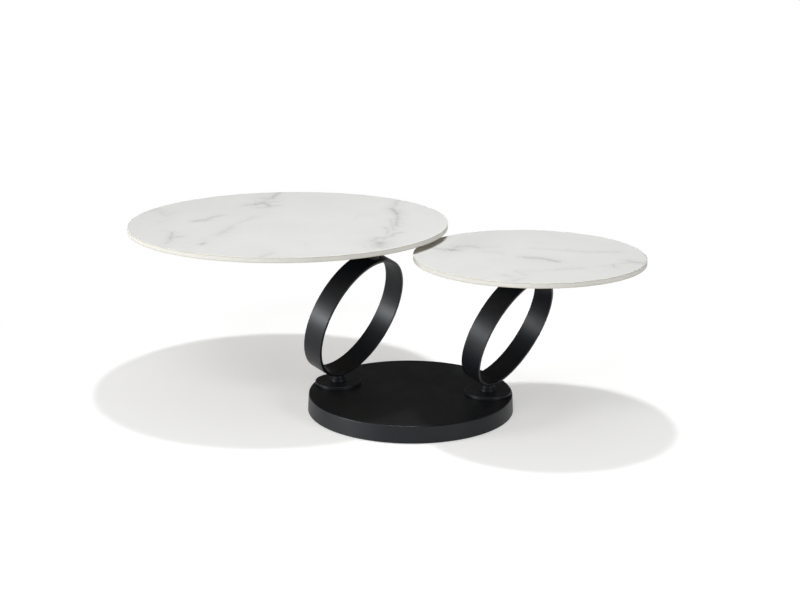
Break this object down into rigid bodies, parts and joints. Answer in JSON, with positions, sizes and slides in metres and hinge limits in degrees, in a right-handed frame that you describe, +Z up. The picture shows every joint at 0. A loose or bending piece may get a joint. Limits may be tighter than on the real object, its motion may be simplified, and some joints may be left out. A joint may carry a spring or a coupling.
{
  "type": "swivel coffee table",
  "caption": "Low coffee table with round marble-look tops at different heights, each on a leaning flat-bar ring that swivels on a heavy round base.",
  "frame": {"origin": "centre of the base's underside, on the floor", "axes": "+Z up; +X from the large top's swivel axis towards the small top's; +Y away from the viewer"},
  "size_m": [1.2917, 0.8041, 0.4312],
  "materials": {
    "black_powder_coat": "satin black powder coat on steel",
    "marble_look_stone": "satin marble-look sintered stone with sparse grey veins",
    "bond_silicone": "grey bonding silicone",
    "zinc_plated_steel": "zinc-plated steel",
    "cast_iron_ballast": "rough cast iron",
    "sintered_bronze": "sintered bronze, oiled",
    "acetal_glide": "black acetal sheet",
    "wool_felt": "pressed wool felt"
  },
  "bodies": {
    "base": {"base_cover": "black_powder_coat", "base_ballast": "cast_iron_ballast", "base_bottom_plate": "black_powder_coat", "bottom_plate_screws": "zinc_plated_steel", "base_felt_pad": "wool_felt", "large_bearing_housing": "zinc_plated_steel", "large_housing_screws": "zinc_plated_steel", "large_lower_bush": "sintered_bronze", "large_upper_bush": "sintered_bronze", "large_glide_washer": "acetal_glide", "small_bearing_housing": "zinc_plated_steel", "small_housing_screws": "zinc_plated_steel", "small_lower_bush": "sintered_bronze", "small_upper_bush": "sintered_bronze", "small_glide_washer": "acetal_glide"},
    "large_swivel": {"large_spindle": "black_powder_coat", "large_thrust_washer": "zinc_plated_steel", "large_lock_nut": "zinc_plated_steel", "large_swivel_foot": "black_powder_coat", "large_ring": "black_powder_coat", "large_lower_ring_screws": "black_powder_coat", "large_upper_ring_screws": "black_powder_coat", "large_upper_post": "black_powder_coat", "large_top_flange": "black_powder_coat", "large_top_plate": "black_powder_coat", "large_flange_screws": "zinc_plated_steel", "large_post_bolt": "zinc_plated_steel", "large_bond_pad": "bond_silicone", "large_stone_top": "marble_look_stone"},
    "small_swivel": {"small_spindle": "black_powder_coat", "small_thrust_washer": "zinc_plated_steel", "small_lock_nut": "zinc_plated_steel", "small_swivel_foot": "black_powder_coat", "small_ring": "black_powder_coat", "small_lower_ring_screws": "black_powder_coat", "small_upper_ring_screws": "black_powder_coat", "small_upper_post": "black_powder_coat", "small_top_flange": "black_powder_coat", "small_top_plate": "black_powder_coat", "small_flange_screws": "zinc_plated_steel", "small_post_bolt": "zinc_plated_steel", "small_bond_pad": "bond_silicone", "small_stone_top": "marble_look_stone"}
  },
  "joints": [
    {"name": "large_swivel_turn", "type": "hinge", "parent": "base", "child": "large_swivel", "pos_m": [-0.18858, 0.02316, 0.043], "axis": [0, 0, 1], "continuous": true},
    {"name": "small_swivel_turn", "type": "hinge", "parent": "base", "child": "small_swivel", "pos_m": [0.18858, 0.02316, 0.043], "axis": [0, 0, 1], "range_deg": [-50, 100]}
  ]
}
